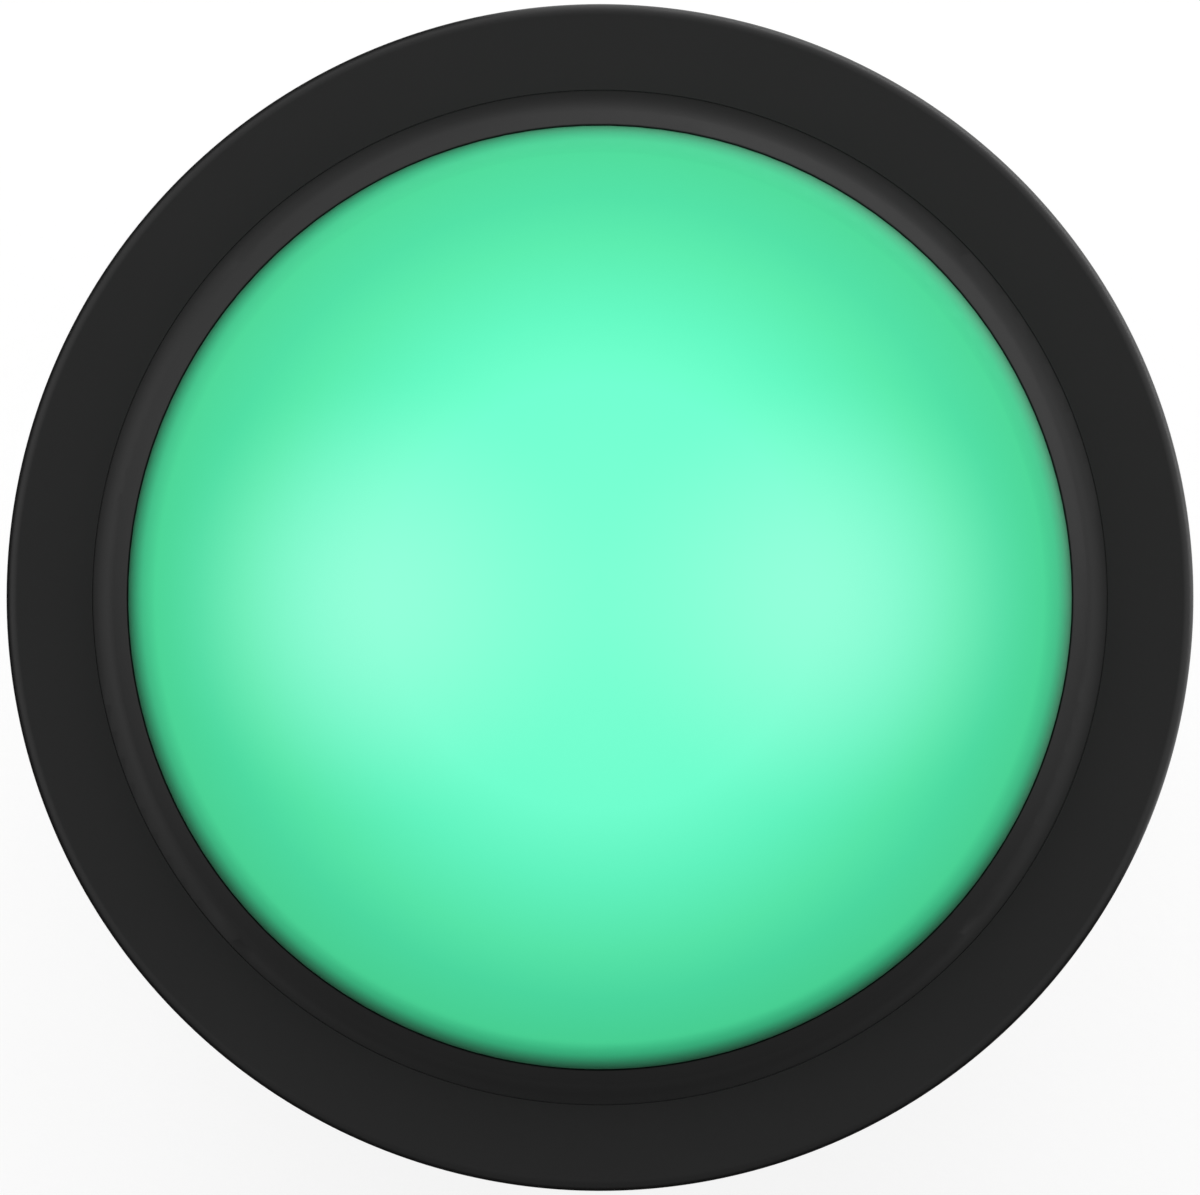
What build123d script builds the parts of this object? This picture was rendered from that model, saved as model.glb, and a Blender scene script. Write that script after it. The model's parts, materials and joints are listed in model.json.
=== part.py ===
from build123d import *
from math import cos, radians, sin, tan
import os

# Illuminated arcade push button that screws into a 30 mm panel hole. All sizes in millimetres.
# Origin on the button's axis at the panel's front face, +Z towards the player, lamps left and right along X.

# Panel hole and body
bezel_diameter = 33.0
flange_overlap = 1.5
flange_thickness = 2.4
hole_clearance = 0.15
flange_edge_radius = 0.3
flange_lip_radius = 0.05
bezel_joint_depth = 0.6
bezel_joint_clearance = 0.01
shoulder_length = 2.5
thread_depth = 0.5
thread_pitch = 2.0
thread_crest_width = 0.5
thread_flank_width = 0.5
thread_start_gap = 1.25
thread_end_gap = 3.0
thread_root_overlap = 0.1
barrel_wall = 1.1
floor_thickness = 2.0
guide_length = 3.0
guide_wall = 1.6
barrel_end_chamfer = 0.4

# Trim ring
trim_ring_width = 1.0
trim_seat_depth = 1.2
trim_seat_clearance = 0.01
trim_drop = 0.04
cove_angle = 42
cove_slope_width = 0.42
trim_lip_radius = 0.04

# Lens cap
lens_bore_clearance = 0.2
lens_ring_clearance = 0.05
lens_rim_height = 5.6
lens_edge_radius = 0.85
lens_crown = 1.0
lens_wall = 1.6
lens_skirt = 9.8

# Plunger carrier
press_travel = 3.5
carrier_fit = 0.1
carrier_flange_thickness = 0.9
carrier_ring_wall = 1.5
carrier_ring_height = 3.0
spoke_width = 2.2
spoke_height = 2.2
spoke_count = 4
hub_radius = 4.4
stem_radius = 2.5
stem_clearance = 0.1
stem_tail = 1.2
stem_tip_radius = 0.4
stem_root_radius = 0.25
lug_width = 3.0
lug_height = 1.4
lug_reach = 0.85
lug_lift = 0.6
lug_clearance = 0.1
lug_ramp = 0.6
key_width = 2.4
key_reach = 0.55
key_clearance = 0.12

# Retaining clip
clip_thickness = 0.8
clip_radius = 4.2
clip_band = 1.1
clip_prong_width = 1.4
clip_mouth = 3.6
clip_play = 0.05
groove_depth = 0.6

# Return spring
spring_wire = 0.6
spring_stem_clearance = 0.3
spring_turns = 6
spring_wire_sides = 8
spring_end_gap = 0.05

# Lamps and their board
led_spacing = 12.8
led_radius = 2.3
led_flange_radius = 2.7
led_flange_height = 0.9
led_height = 4.8
led_dome_radius = 1.6
led_press_clearance = 1.2
lead_radius = 0.25
lead_spacing = 2.54
lead_tail = 1.0
lead_clearance = 0.15
solder_pocket_depth = 1.3
solder_pocket_radius = 2.4
board_thickness = 1.6
board_clearance = 0.3
board_spring_clearance = 0.3
resistor_length = 3.2
resistor_width = 1.6
resistor_height = 0.6
resistor_offset = 6.4

# Lamp blades
led_blade_width = 2.8
led_blade_thickness = 0.5
led_blade_offset = 9.5
led_blade_solder_length = 0.8
led_blade_shoulder = 0.7
led_blade_shoulder_height = 1.5
led_blade_reach = 10.0
led_blade_tip_chamfer = 0.7
led_blade_tip_bevel = 0.12
led_blade_hole_radius = 0.6
led_blade_hole_inset = 2.8
blade_slot_clearance = 0.1

# Microswitch
switch_length = 27.8
switch_width = 10.3
switch_height = 15.9
switch_wall = 1.5
switch_corner_radius = 1.0
switch_cover_thickness = 1.8
switch_edge_chamfer = 0.4
switch_joint_chamfer = 0.2
switch_panel_depth = 0.3
switch_panel_margin = 4.6
switch_panel_radius = 1.2
switch_hole_radius = 1.55
switch_hole_inset = 2.8
switch_boss_wall = 1.3
cavity_corner_radius = 0.5
switch_button_radius = 1.5
switch_button_offset = 2.0
switch_button_stand = 1.3
switch_button_travel = 0.8
switch_button_clearance = 0.1
switch_button_collar = 0.5
switch_button_collar_height = 1.0
switch_button_tip_radius = 0.5
switch_button_foot_radius = 0.8
press_contact_gap = 0.05

# Switch terminals and contacts
terminal_width = 4.75
terminal_thickness = 0.6
terminal_reach = 7.5
terminal_tip_chamfer = 0.9
terminal_tip_bevel = 0.15
terminal_hole_radius = 0.8
terminal_hole_inset = 2.6
terminal_slot_clearance = 0.05
common_terminal_inset = 6.9
closed_terminal_inset = 2.0
open_terminal_setback = 9.0
contact_setback = 3.3
arm_boss_clearance = 0.2
contact_radius = 1.3
contact_height = 0.5
contact_overhang = 0.6
contact_shank_radius = 0.65
contact_gap = 0.05
blade_width = 4.2
blade_thickness = 0.3
blade_bead_radius = 0.45
blade_pivot_gap = 0.15
blade_window_width = 1.8
blade_window_margin = 3.0

# Switch holder
deck_thickness = 2.0
deck_chamfer = 0.4
holder_fit = 0.05
spigot_height = 3.0
spigot_wall = 1.2
barb_width = 5.0
barb_height = 1.4
barb_reach = 0.9
barb_lift = 0.9
barb_ramp = 0.7
barb_clearance = 0.1
clip_hole_clearance = 0.5
cheek_clearance = 0.1
cheek_thickness = 1.7
cheek_margin = 2.6
cheek_corner_radius = 1.5
brace_offset = 8.2
brace_width = 1.2
brace_reach = 3.4
brace_height = 4.6
peg_clearance = 0.1
peg_length = 2.4
peg_chamfer = 0.4
switch_seat_gap = 0.05

# Ring nut
panel_gap = 4.0
nut_height = 6.0
nut_thread_clearance = 0.1
nut_wall = 1.35
nut_washer_height = 1.2
nut_rib_count = 20
nut_rib_radius = 0.7
nut_drum_inset = 0.5
nut_chamfer = 0.3
nut_lead_in = 0.4

# Radii from the axis outwards
bezel_radius = bezel_diameter / 2
panel_hole_radius = bezel_radius - flange_overlap
shoulder_radius = panel_hole_radius - hole_clearance
thread_root_radius = shoulder_radius - thread_depth
bore_radius = thread_root_radius - barrel_wall
lens_radius = bore_radius - lens_bore_clearance
trim_bore_radius = lens_radius + lens_ring_clearance
trim_radius = trim_bore_radius + trim_ring_width
lens_inner_radius = lens_radius - lens_wall
carrier_ring_radius = lens_inner_radius - carrier_fit
guide_bore_radius = stem_radius + stem_clearance
guide_radius = guide_bore_radius + guide_wall
spring_radius = stem_radius + spring_stem_clearance + spring_wire / 2
board_hole_radius = spring_radius + spring_wire / 2 + board_spring_clearance
board_radius = bore_radius - board_clearance
key_radius = lens_radius + key_reach
nut_bore_radius = shoulder_radius + nut_thread_clearance
nut_radius = nut_bore_radius + nut_wall

# Heights from the lens down to the switch, each from the one before
trim_edge_z = flange_thickness - trim_drop
lens_bottom_z = lens_rim_height - lens_skirt
carrier_bottom_z = lens_bottom_z - carrier_flange_thickness
led_top_z = carrier_bottom_z - press_travel - led_press_clearance
board_top_z = led_top_z - led_height
floor_top_z = board_top_z - board_thickness
floor_bottom_z = floor_top_z - floor_thickness
guide_end_z = floor_bottom_z - guide_length
clip_top_z = guide_end_z - clip_play
clip_bottom_z = clip_top_z - clip_thickness
stem_end_z = clip_bottom_z - stem_tail
switch_button_down_z = stem_end_z - press_travel - press_contact_gap
switch_top_z = switch_button_down_z - switch_button_stand + switch_button_travel
switch_mid_z = switch_top_z - switch_height / 2
switch_bottom_z = switch_top_z - switch_height
deck_bottom_z = switch_top_z + switch_seat_gap
barrel_end_z = deck_bottom_z + deck_thickness

# Places inside the switch
switch_hole_x = switch_length / 2 - switch_hole_inset
switch_hole_z = switch_height / 2 - switch_hole_inset
cover_inner_y = switch_width / 2 - switch_cover_thickness
common_terminal_x = common_terminal_inset - switch_length / 2
closed_terminal_x = switch_length / 2 - closed_terminal_inset
open_terminal_x = closed_terminal_x - open_terminal_setback
contact_x = closed_terminal_x - contact_setback
boss_radius = switch_hole_radius + switch_boss_wall
closed_arm_z = switch_mid_z + switch_hole_z - boss_radius - arm_boss_clearance - terminal_thickness
closed_contact_z = closed_arm_z - contact_height
blade_z = closed_contact_z - contact_gap - contact_height - blade_thickness / 2
foot_lever = switch_button_offset - switch_button_foot_radius - common_terminal_x
contact_lever = contact_x + contact_radius - common_terminal_x
contact_drop = switch_button_travel * contact_lever / foot_lever
open_contact_z = blade_z - blade_thickness / 2 - contact_height - contact_drop - contact_gap


def tube(outer, inner, low, high):
    """A round tube on the Z axis between two heights."""
    height = high - low
    return Pos(0, 0, (low + high) / 2) * (Cylinder(outer, height) - Cylinder(inner, height))


def rod(radius, low, high, x=0, y=0):
    """A round rod parallel to Z between two heights."""
    return Pos(x, y, (low + high) / 2) * Cylinder(radius, high - low)


def block(x_size, y_size, low, high, x=0, y=0):
    """A box centred at x and y between two heights."""
    return Pos(x, y, (low + high) / 2) * Box(x_size, y_size, high - low)


def slab(outline, low, high):
    """An outline drawn in X and Z, given thickness in Y between two places."""
    return extrude(Plane.XZ.offset(-high) * outline, high - low)


def turned(outline):
    """A half section drawn in radius and height, turned round the Z axis."""
    return revolve(Plane.XZ * outline, Axis.Z)


def circles_at(shape, radius, height):
    """The circular edges of a turned shape that have this radius and height."""
    near = 0.0001
    edges = shape.edges().filter_by(GeomType.CIRCLE)
    edges = edges.filter_by(lambda edge: abs(edge.radius - radius) < near)
    return edges.filter_by(lambda edge: abs(edge.arc_center.Z - height) < near)


def barrel_thread():
    """The moulded thread: one ridge with slanting flanks, wound round the barrel below its shoulder."""
    high = -shoulder_length - thread_start_gap
    low = barrel_end_z + thread_end_gap
    coil = Pos(0, 0, low) * Helix(thread_pitch, high - low, thread_root_radius)
    crest = thread_crest_width / 2
    slope = thread_flank_width / thread_depth
    foot = crest + thread_flank_width + slope * thread_root_overlap
    ridge = make_face(Polyline(
        (-thread_root_overlap, -foot),
        (thread_depth, -crest),
        (thread_depth, crest),
        (-thread_root_overlap, foot),
        close=True,
    ))
    section = Plane(coil @ 0, x_dir=(1, 0, 0), z_dir=coil % 0) * ridge
    return sweep(section, path=coil, is_frenet=True)


def key_grooves(low, high):
    """Two grooves outside the lens's way, which take the plunger's keys and stop it from turning."""
    groove_reach = key_radius + key_clearance
    groove_width = key_width + 2 * key_clearance
    return block(groove_width, 2 * groove_reach, low, high) - rod(lens_radius, low, high)


def weld_taper(grow):
    """The body's upper end, slanted at 45 degrees, or with clearance the hollow that it is welded into."""
    low_radius = shoulder_radius + grow
    taper = Cone(low_radius, low_radius - bezel_joint_depth, bezel_joint_depth)
    return Pos(0, 0, bezel_joint_depth / 2) * taper


def bezel_ring():
    """Flat ring welded onto the body: it rests on the panel and holds the trim ring in its seat."""
    seat_z = flange_thickness - trim_seat_depth
    seat_radius = trim_radius + trim_seat_clearance
    ring = tube(bezel_radius, bore_radius, 0, flange_thickness)
    ring -= weld_taper(bezel_joint_clearance)
    ring -= rod(seat_radius, seat_z, flange_thickness)
    ring = fillet(circles_at(ring, bezel_radius, flange_thickness), flange_edge_radius)
    ring = fillet(circles_at(ring, seat_radius, flange_thickness), flange_lip_radius)
    return ring - key_grooves(bezel_joint_depth, seat_z)


def bezel_body():
    """The body below the panel's face: plain shoulder, threaded barrel, lamp floor and stem guide."""
    body = tube(shoulder_radius, bore_radius, -shoulder_length, 0)
    body += weld_taper(0) - rod(bore_radius, 0, bezel_joint_depth)
    body += tube(thread_root_radius, bore_radius, barrel_end_z, -shoulder_length)
    body += barrel_thread()
    body += rod(bore_radius, floor_bottom_z, floor_top_z)
    body += rod(guide_radius, guide_end_z, floor_bottom_z)
    body -= rod(guide_bore_radius, guide_end_z, floor_top_z)
    body = chamfer(circles_at(body, thread_root_radius, barrel_end_z), barrel_end_chamfer)
    body -= key_grooves(floor_top_z, bezel_joint_depth)
    # Pockets under the lamps for the solder side, and slots for the two lamp blades
    for side in (-1, 1):
        pocket_z = floor_top_z - solder_pocket_depth
        body -= rod(solder_pocket_radius, pocket_z, floor_top_z, x=side * led_spacing / 2)
        body -= led_blade_slot(side, floor_bottom_z, floor_top_z)
    # Windows at the barrel's end for the holder's barbs
    window_low = barrel_end_z + barb_lift - barb_clearance
    window_high = window_low + barb_height + 2 * barb_clearance
    return body - block(2 * bezel_radius, barb_width + 2 * barb_clearance, window_low, window_high)


def led_blade_slot(side, low, high):
    """The slot that one lamp blade passes through."""
    x_size = led_blade_width + 2 * blade_slot_clearance
    y_size = led_blade_thickness + 2 * blade_slot_clearance
    return block(x_size, y_size, low, high, y=side * led_blade_offset)


def trim_ring():
    """Ring pressed into the flange. Its top sweeps up in a hollow curve to a lip round the lens."""
    low = flange_thickness - trim_seat_depth
    slope_radius = trim_bore_radius + cove_slope_width
    cove_radius = (trim_radius - slope_radius) / sin(radians(cove_angle))
    slope_z = trim_edge_z + cove_radius * (1 - cos(radians(cove_angle)))
    top_z = slope_z + cove_slope_width * tan(radians(cove_angle))
    cove = TangentArc((trim_radius, trim_edge_z), (slope_radius, slope_z), tangent=(-1, 0))
    walls = Polyline(
        (slope_radius, slope_z),
        (trim_bore_radius, top_z),
        (trim_bore_radius, low),
        (trim_radius, low),
        (trim_radius, trim_edge_z),
    )
    ring = turned(make_face(cove + walls))
    return fillet(circles_at(ring, trim_bore_radius, top_z), trim_lip_radius)


def lens_cap():
    """Translucent cap with a gently crowned top, a round edge and a deep skirt that slides in the bore."""
    crown_radius = (lens_radius**2 + lens_crown**2) / (2 * lens_crown)
    apex_z = lens_rim_height + lens_crown
    crown_centre = Pos(0, 0, apex_z - crown_radius)
    cap = rod(lens_radius, lens_bottom_z, apex_z) & crown_centre * Sphere(crown_radius)
    hollow = rod(lens_inner_radius, lens_bottom_z, apex_z) & crown_centre * Sphere(crown_radius - lens_wall)
    cap = fillet(circles_at(cap, lens_radius, lens_rim_height), lens_edge_radius)
    cap -= hollow
    window = snap_lug(lug_clearance, lens_wall)
    for angle in spoke_angles():
        cap -= Rot(0, 0, angle) * window
    return cap


def snap_lug(grow, extra_reach):
    """A lug on the carrier, or with added clearance and reach the lens window that it clicks into."""
    low = lens_bottom_z + lug_lift - grow
    reach = lug_reach + extra_reach + carrier_ring_wall
    middle = carrier_ring_radius - carrier_ring_wall + reach / 2
    return block(reach, lug_width + 2 * grow, low, low + lug_height + 2 * grow, x=middle)


def spoke_angles():
    """Spokes stand between the lamps, so that each lamp shines through an open window."""
    step = 360 / spoke_count
    return [step / 2 + step * index for index in range(spoke_count)]


def plunger_carrier():
    """White moulding under the lens: rim, spokes, hub, two keys and the stem that presses the switch."""
    ring_top = lens_bottom_z + carrier_ring_height
    ring_inner = carrier_ring_radius - carrier_ring_wall
    carrier = tube(lens_radius - carrier_fit, ring_inner, carrier_bottom_z, lens_bottom_z)
    carrier += tube(carrier_ring_radius, ring_inner, lens_bottom_z, ring_top)
    carrier += rod(hub_radius, carrier_bottom_z, ring_top)
    arm_length = ring_inner + carrier_ring_wall / 2
    arm_top = carrier_bottom_z + spoke_height
    arm = block(arm_length, spoke_width, carrier_bottom_z, arm_top, x=arm_length / 2)
    for angle in spoke_angles():
        carrier += Rot(0, 0, angle) * arm
    lug = snap_lug(0, 0)
    ramp_edge = lug.edges().filter_by(Axis.Y).sort_by(lambda edge: edge.center().X + edge.center().Z)[-1]
    lug = chamfer(ramp_edge, lug_ramp)
    for angle in spoke_angles():
        carrier += Rot(0, 0, angle) * lug
    keys = block(key_width, 2 * key_radius, carrier_bottom_z, lens_bottom_z)
    carrier += keys - rod(carrier_ring_radius, carrier_bottom_z, lens_bottom_z)
    carrier += rod(stem_radius, stem_end_z, carrier_bottom_z)
    carrier = fillet(circles_at(carrier, stem_radius, stem_end_z), stem_tip_radius)
    carrier = fillet(circles_at(carrier, stem_radius, carrier_bottom_z), stem_root_radius)
    groove_low = clip_bottom_z - clip_play / 2
    groove_high = clip_top_z + clip_play / 2
    return carrier - tube(stem_radius, stem_radius - groove_depth, groove_low, groove_high)


def retaining_clip():
    """Steel E-clip: an open band with three prongs that bear on the stem's groove."""
    band = tube(clip_radius, clip_radius - clip_band, clip_bottom_z, clip_top_z)
    reach = clip_radius - clip_band / 2
    prong = block(reach, clip_prong_width, clip_bottom_z, clip_top_z, x=reach / 2)
    clip = band - block(clip_mouth, clip_radius, clip_bottom_z, clip_top_z, y=clip_radius / 2)
    for angle in (0, 180, 270):
        clip += Rot(0, 0, angle) * prong
    return clip - rod(stem_radius - groove_depth + clip_play / 2, clip_bottom_z, clip_top_z)


def return_spring():
    """Coil of round steel wire round the stem, between the floor and the carrier's hub."""
    wire_radius = spring_wire / 2
    low = floor_top_z + wire_radius + spring_end_gap
    high = carrier_bottom_z - wire_radius - spring_end_gap
    coil = Pos(0, 0, low) * Helix((high - low) / spring_turns, high - low, spring_radius)
    section = Plane(coil @ 0, z_dir=coil % 0) * RegularPolygon(wire_radius, spring_wire_sides)
    return sweep(section, path=coil, is_frenet=True)


def led_board():
    """Ring-shaped circuit board on the lamp floor. Two tabs in the bore's grooves stop it turning."""
    board = rod(board_radius, floor_top_z, board_top_z)
    board += block(key_width, 2 * key_radius, floor_top_z, board_top_z)
    board -= rod(board_hole_radius, floor_top_z, board_top_z)
    for side in (-1, 1):
        board -= led_blade_slot(side, floor_top_z, board_top_z)
    for x in lead_places():
        board -= rod(lead_radius + lead_clearance, floor_top_z, board_top_z, x=x)
    return board


def lead_places():
    """The four leads stand in a row along X, two under each lamp."""
    return [
        side * led_spacing / 2 + step * lead_spacing / 2
        for side in (-1, 1)
        for step in (-1, 1)
    ]


def led(side):
    """Wide-angle lamp: a low flat-topped epoxy body on a wider foot, flat on its cathode side."""
    x = side * led_spacing / 2
    lamp = rod(led_radius, board_top_z, led_top_z)
    lamp = fillet(circles_at(lamp, led_radius, led_top_z), led_dome_radius)
    foot = rod(led_flange_radius, board_top_z, board_top_z + led_flange_height)
    flat_x = (led_radius - led_flange_radius) / 2
    foot &= block(led_radius + led_flange_radius, 2 * led_flange_radius, board_top_z, led_top_z, x=flat_x)
    return Pos(x, 0, 0) * (lamp + foot)


def led_leads():
    """Four round wire leads from the lamps down through the board to their solder side."""
    low = floor_top_z - lead_tail
    return Compound([rod(lead_radius, low, board_top_z, x=x) for x in lead_places()])


def led_resistors():
    """Two chip resistors on the board, one for each lamp."""
    high = board_top_z + resistor_height
    return Compound([
        block(resistor_length, resistor_width, board_top_z, high, y=side * resistor_offset)
        for side in (-1, 1)
    ])


def led_terminal(side):
    """Flat blade soldered to the board, shouldered under the floor, with a drilled and chamfered tip."""
    top = board_top_z + led_blade_solder_length
    tip = switch_top_z - led_blade_reach
    y = side * led_blade_offset
    blade = block(led_blade_width, led_blade_thickness, tip, top, y=y)
    tip_edges = blade.edges().filter_by(Axis.Y).group_by(Axis.Z)[0]
    blade = chamfer(tip_edges, led_blade_tip_chamfer)
    blade = chamfer(blade.edges().filter_by(Axis.X).group_by(Axis.Z)[0], led_blade_tip_bevel)
    shoulder_width = led_blade_width + 2 * led_blade_shoulder
    shoulder_low = floor_bottom_z - led_blade_shoulder_height
    blade += block(shoulder_width, led_blade_thickness, shoulder_low, floor_bottom_z, y=y)
    hole_z = tip + led_blade_hole_inset
    half = led_blade_thickness / 2
    return blade - slab(Pos(0, hole_z) * Circle(led_blade_hole_radius), y - half, y + half)


def switch_outline(corner):
    """The microswitch's outline seen from its broad side."""
    return Pos(0, switch_mid_z) * RectangleRounded(switch_length, switch_height, corner)


def switch_holes(radius):
    """The two mounting holes, on a diagonal, seen from the broad side."""
    right = Pos(switch_hole_x, switch_mid_z + switch_hole_z) * Circle(radius)
    left = Pos(-switch_hole_x, switch_mid_z - switch_hole_z) * Circle(radius)
    return right + left


def switch_shell(low, high, low_chamfer, high_chamfer):
    """A slice of the switch's body between two places in Y, with its two outer edges broken."""
    shell = slab(switch_outline(switch_corner_radius), low, high)
    shell = chamfer(shell.edges().group_by(Axis.Y)[0], low_chamfer)
    return chamfer(shell.edges().group_by(Axis.Y)[-1], high_chamfer)


def switch_panel(low, high):
    """The shallow panel sunk into each broad side of the switch, clear of its mounting holes."""
    panel = RectangleRounded(
        switch_length - 2 * switch_panel_margin, switch_height - 2 * switch_panel_margin, switch_panel_radius
    )
    return slab(Pos(0, switch_mid_z) * panel, low, high)


def switch_case():
    """Moulded tray of the microswitch, with bosses round its mounting holes and slots for the terminals."""
    back = -switch_width / 2
    case = switch_shell(back, cover_inner_y, switch_edge_chamfer, switch_joint_chamfer)
    case -= switch_panel(back, back + switch_panel_depth)
    inner = Pos(0, switch_mid_z) * RectangleRounded(
        switch_length - 2 * switch_wall, switch_height - 2 * switch_wall, cavity_corner_radius
    )
    inner -= switch_holes(boss_radius)
    case -= slab(inner, back + switch_wall, cover_inner_y)
    case -= slab(switch_holes(switch_hole_radius), back, cover_inner_y)
    hole_radius = switch_button_radius + switch_button_clearance
    case -= rod(hole_radius, switch_top_z - switch_wall, switch_top_z, x=switch_button_offset)
    slot_x = terminal_thickness + 2 * terminal_slot_clearance
    slot_y = terminal_width + 2 * terminal_slot_clearance
    slot_top = switch_bottom_z + switch_wall + cavity_corner_radius
    for x in (common_terminal_x, open_terminal_x, closed_terminal_x):
        case -= block(slot_x, slot_y, switch_bottom_z, slot_top, x=x)
    return case


def switch_cover():
    """Cover that closes the tray, with the same outline, mounting holes and sunk panel."""
    front = switch_width / 2
    cover = switch_shell(cover_inner_y, front, switch_joint_chamfer, switch_edge_chamfer)
    cover -= switch_panel(front - switch_panel_depth, front)
    return cover - slab(switch_holes(switch_hole_radius), cover_inner_y, front)


def switch_button():
    """The switch's own push pin, with a collar that keeps it in the case and a slim foot on the blade."""
    top = switch_top_z + switch_button_stand
    collar_top = switch_top_z - switch_wall - switch_button_clearance
    collar_low = collar_top - switch_button_collar_height
    foot = blade_z + blade_thickness / 2 + contact_gap
    pin = rod(switch_button_radius, collar_low, top)
    pin = fillet(circles_at(pin, switch_button_radius, top), switch_button_tip_radius)
    pin += rod(switch_button_radius + switch_button_collar, collar_low, collar_top)
    pin += rod(switch_button_foot_radius, foot, collar_low)
    return Pos(switch_button_offset, 0, 0) * pin


def terminal(x, top):
    """An upright quick-connect blade from inside the switch to its drilled and chamfered tip."""
    tip = switch_bottom_z - terminal_reach
    blade = block(terminal_thickness, terminal_width, tip, top, x=x)
    blade = chamfer(blade.edges().filter_by(Axis.X).group_by(Axis.Z)[0], terminal_tip_chamfer)
    blade = chamfer(blade.edges().filter_by(Axis.Y).group_by(Axis.Z)[0], terminal_tip_bevel)
    hole_z = tip + terminal_hole_inset
    hole = Pos(x, 0, hole_z) * Rot(0, 90, 0) * Cylinder(terminal_hole_radius, terminal_thickness)
    return blade - hole


def common_terminal():
    """Blade whose inner end carries the moving leaf."""
    return terminal(common_terminal_x, blade_z - blade_bead_radius - blade_pivot_gap)


def contact_arm(x, low):
    """The level part of a fixed terminal, from its upright to just past the contact."""
    near = x + terminal_thickness / 2 if x > contact_x else x - terminal_thickness / 2
    past = contact_radius + contact_overhang
    far = contact_x - past if x > contact_x else contact_x + past
    return block(abs(far - near), terminal_width, low, low + terminal_thickness, x=(far + near) / 2)


def normally_open_terminal():
    """Blade with its contact arm below the moving contact."""
    arm_low = open_contact_z - contact_height - terminal_thickness
    return terminal(open_terminal_x, arm_low + terminal_thickness) + contact_arm(open_terminal_x, arm_low)


def normally_closed_terminal():
    """Blade that goes up past the open contact, with its arm above the moving contact."""
    upright = terminal(closed_terminal_x, closed_arm_z + terminal_thickness)
    return upright + contact_arm(closed_terminal_x, closed_arm_z)


def fixed_contacts():
    """Two silver rivets, one on each fixed terminal, facing the moving contact."""
    upper = rod(contact_radius, closed_contact_z, closed_arm_z, x=contact_x)
    lower = rod(contact_radius, open_contact_z - contact_height, open_contact_z, x=contact_x)
    return Compound([upper, lower])


def moving_blade():
    """Springy leaf with a rolled end that rocks on the common terminal and a long window along its middle."""
    half = blade_thickness / 2
    end_x = contact_x + contact_radius + contact_overhang
    length = end_x - common_terminal_x
    leaf = block(length, blade_width, blade_z - half, blade_z + half, x=(end_x + common_terminal_x) / 2)
    window_end = switch_button_offset - switch_button_radius - switch_button_clearance
    window_start = common_terminal_x + blade_window_margin
    window_length = window_end - window_start
    window_x = (window_end + window_start) / 2
    leaf -= block(window_length, blade_window_width, blade_z - half, blade_z + half, x=window_x)
    bead_outline = Pos(common_terminal_x, blade_z) * Circle(blade_bead_radius)
    bead = slab(bead_outline, -blade_width / 2, blade_width / 2)
    hole = rod(contact_shank_radius, blade_z - half, blade_z + half, x=contact_x)
    return leaf + bead - hole


def moving_contact():
    """Silver rivet through the leaf's end, with a face on each side."""
    half = blade_thickness / 2
    rivet = rod(contact_shank_radius, blade_z - half, blade_z + half, x=contact_x)
    rivet += rod(contact_radius, blade_z + half, blade_z + half + contact_height, x=contact_x)
    return rivet + rod(contact_radius, blade_z - half - contact_height, blade_z - half, x=contact_x)


def switch_holder():
    """Moulding that clicks into the barrel's end: deck, spigot, two barbs, and cheeks for the switch."""
    spigot_radius = bore_radius - holder_fit
    deck = rod(thread_root_radius, deck_bottom_z, barrel_end_z)
    deck = chamfer(circles_at(deck, thread_root_radius, deck_bottom_z), deck_chamfer)
    deck += tube(spigot_radius, spigot_radius - spigot_wall, barrel_end_z, barrel_end_z + spigot_height)
    barb_low = barrel_end_z + barb_lift
    barb = block(2 * (spigot_radius + barb_reach), barb_width, barb_low, barb_low + barb_height)
    barb = chamfer(barb.edges().filter_by(Axis.Y).group_by(Axis.Z)[-1], barb_ramp)
    deck += barb - rod(spigot_radius - spigot_wall, barb_low, barb_low + barb_height)
    deck -= rod(clip_radius + clip_hole_clearance, deck_bottom_z, barrel_end_z)
    for side in (-1, 1):
        deck -= led_blade_slot(side, deck_bottom_z, barrel_end_z)
        deck += switch_cheek(side)
    return deck


def switch_cheek(side):
    """One wall beside the switch with its pegs, braced against the deck and kept inside the nut's way."""
    reach = switch_hole_x + switch_hole_radius
    right_low = switch_mid_z + switch_hole_z - cheek_margin
    left_low = switch_mid_z - switch_hole_z - cheek_margin
    inner_right = switch_hole_x - switch_hole_radius - cheek_margin
    inner_left = -inner_right
    outline = make_face(Polyline(
        (-reach, deck_bottom_z),
        (reach, deck_bottom_z),
        (reach, right_low),
        (inner_right, right_low),
        (inner_left, left_low),
        (-reach, left_low),
        close=True,
    ))
    corners = outline.vertices().filter_by(lambda corner: corner.Y < deck_bottom_z)
    outline = fillet(corners, cheek_corner_radius)
    near = switch_width / 2 + cheek_clearance
    far = near + cheek_thickness
    cheek = slab(outline, near, far)
    for x in (-brace_offset, brace_offset):
        cheek += cheek_brace(x, far)
    cheek &= rod(thread_root_radius - deck_chamfer, left_low, deck_bottom_z)
    peg_end = near - cheek_clearance - peg_length
    pegs = slab(switch_holes(switch_hole_radius - peg_clearance), peg_end, near)
    cheek += chamfer(pegs.edges().group_by(Axis.Y)[0], peg_chamfer)
    return cheek if side > 0 else mirror(cheek, Plane.XZ)


def cheek_brace(x, wall_y):
    """A three-cornered rib between the deck and the outside of a cheek."""
    rib = make_face(Polyline(
        (wall_y, deck_bottom_z),
        (wall_y + brace_reach, deck_bottom_z),
        (wall_y, deck_bottom_z - brace_height),
        close=True,
    ))
    return extrude(Plane.YZ.offset(x - brace_width / 2) * rib, brace_width)


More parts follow.
